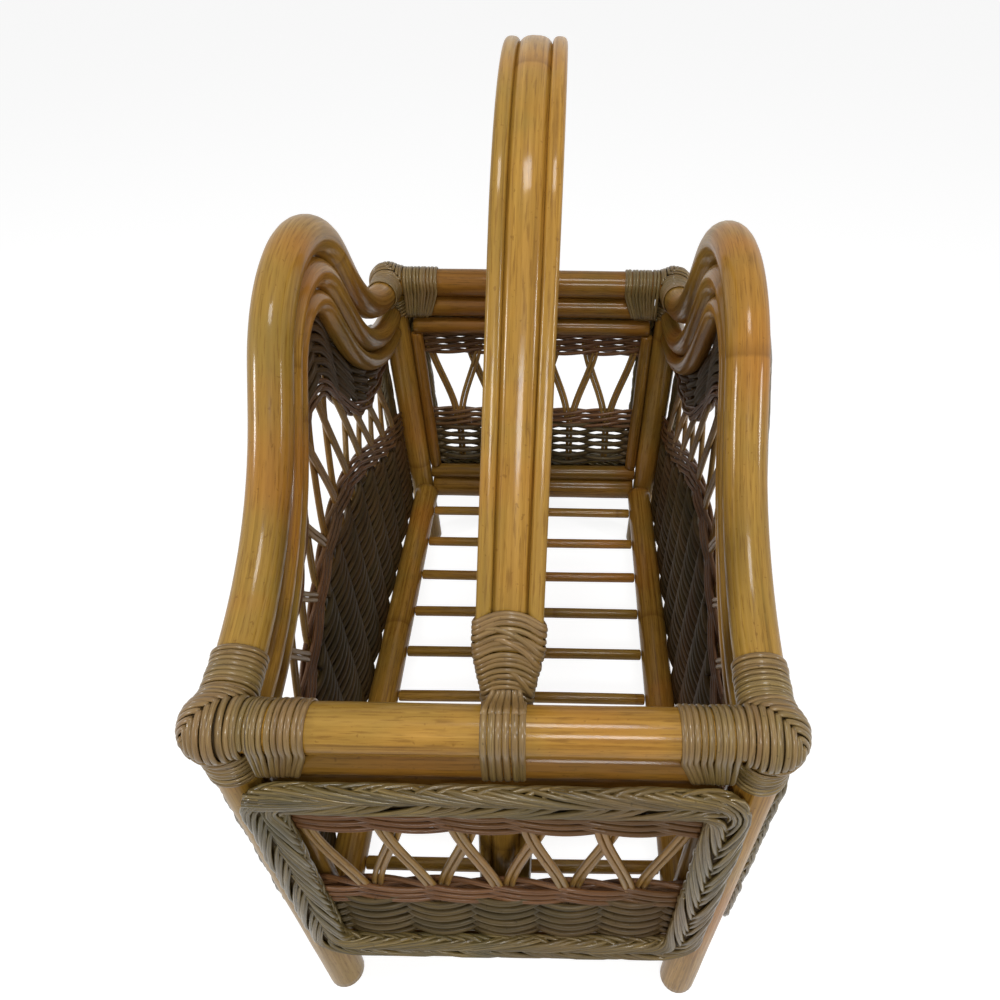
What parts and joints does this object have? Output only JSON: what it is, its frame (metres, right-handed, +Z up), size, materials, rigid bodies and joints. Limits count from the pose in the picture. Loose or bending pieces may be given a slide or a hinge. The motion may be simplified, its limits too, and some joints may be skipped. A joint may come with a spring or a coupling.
{
  "type": "magazine basket",
  "caption": "Rectangular rattan magazine basket on legs, with bell-arched sides, woven lattice panels, slatted floor and a fixed overhead handle.",
  "frame": {"origin": "on the ground, midway between the four feet", "axes": "+Z up, Y along the basket's length, X across it from side panel to side panel"},
  "size_m": [0.291, 0.4924, 0.5334],
  "materials": {
    "rattan_pole": "varnished rattan, glossy",
    "lashing_cane": "varnished flat cane, satin",
    "plaited_border": "varnished plaited cane, satin",
    "lattice_cane": "varnished round cane, satin",
    "weave": "varnished close weave, satin"
  },
  "bodies": {
    "root": {"leg_front_left": "rattan_pole", "leg_front_right": "rattan_pole", "leg_back_left": "rattan_pole", "leg_back_right": "rattan_pole", "left_arch_outer": "rattan_pole", "right_arch_outer": "rattan_pole", "left_arch_middle": "rattan_pole", "right_arch_middle": "rattan_pole", "left_arch_inner": "rattan_pole", "right_arch_inner": "rattan_pole", "front_rail_top": "rattan_pole", "back_rail_top": "rattan_pole", "front_rail_middle": "rattan_pole", "back_rail_middle": "rattan_pole", "front_rail_bottom": "rattan_pole", "back_rail_bottom": "rattan_pole", "floor_rail_left": "rattan_pole", "floor_rail_right": "rattan_pole", "floor_end_rail_front_lower": "rattan_pole", "floor_end_rail_back_lower": "rattan_pole", "floor_end_rail_front_upper": "rattan_pole", "floor_end_rail_back_upper": "rattan_pole", "floor_slat_1": "rattan_pole", "floor_slat_2": "rattan_pole", "floor_slat_3": "rattan_pole", "floor_slat_4": "rattan_pole", "floor_slat_5": "rattan_pole", "floor_slat_6": "rattan_pole", "floor_slat_7": "rattan_pole", "floor_slat_8": "rattan_pole", "floor_slat_9": "rattan_pole", "upright_front_left": "rattan_pole", "upright_front_right": "rattan_pole", "upright_back_left": "rattan_pole", "upright_back_right": "rattan_pole", "handle_centre_pole": "rattan_pole", "handle_left_pole": "rattan_pole", "handle_right_pole": "rattan_pole", "lashing_front_left": "lashing_cane", "lashing_front_right": "lashing_cane", "lashing_back_left": "lashing_cane", "lashing_back_right": "lashing_cane", "handle_band_front": "lashing_cane", "handle_band_back": "lashing_cane", "handle_wrap_front": "lashing_cane", "handle_wrap_back": "lashing_cane", "front_woven_band": "weave", "front_lattice": "lattice_cane", "back_woven_band": "weave", "back_lattice": "lattice_cane", "left_woven_band": "weave", "right_woven_band": "weave", "left_lattice": "lattice_cane", "right_lattice": "lattice_cane", "left_hump_band": "weave", "right_hump_band": "weave", "front_border": "plaited_border", "back_border": "plaited_border", "left_border": "plaited_border", "right_border": "plaited_border"}
  },
  "joints": []
}
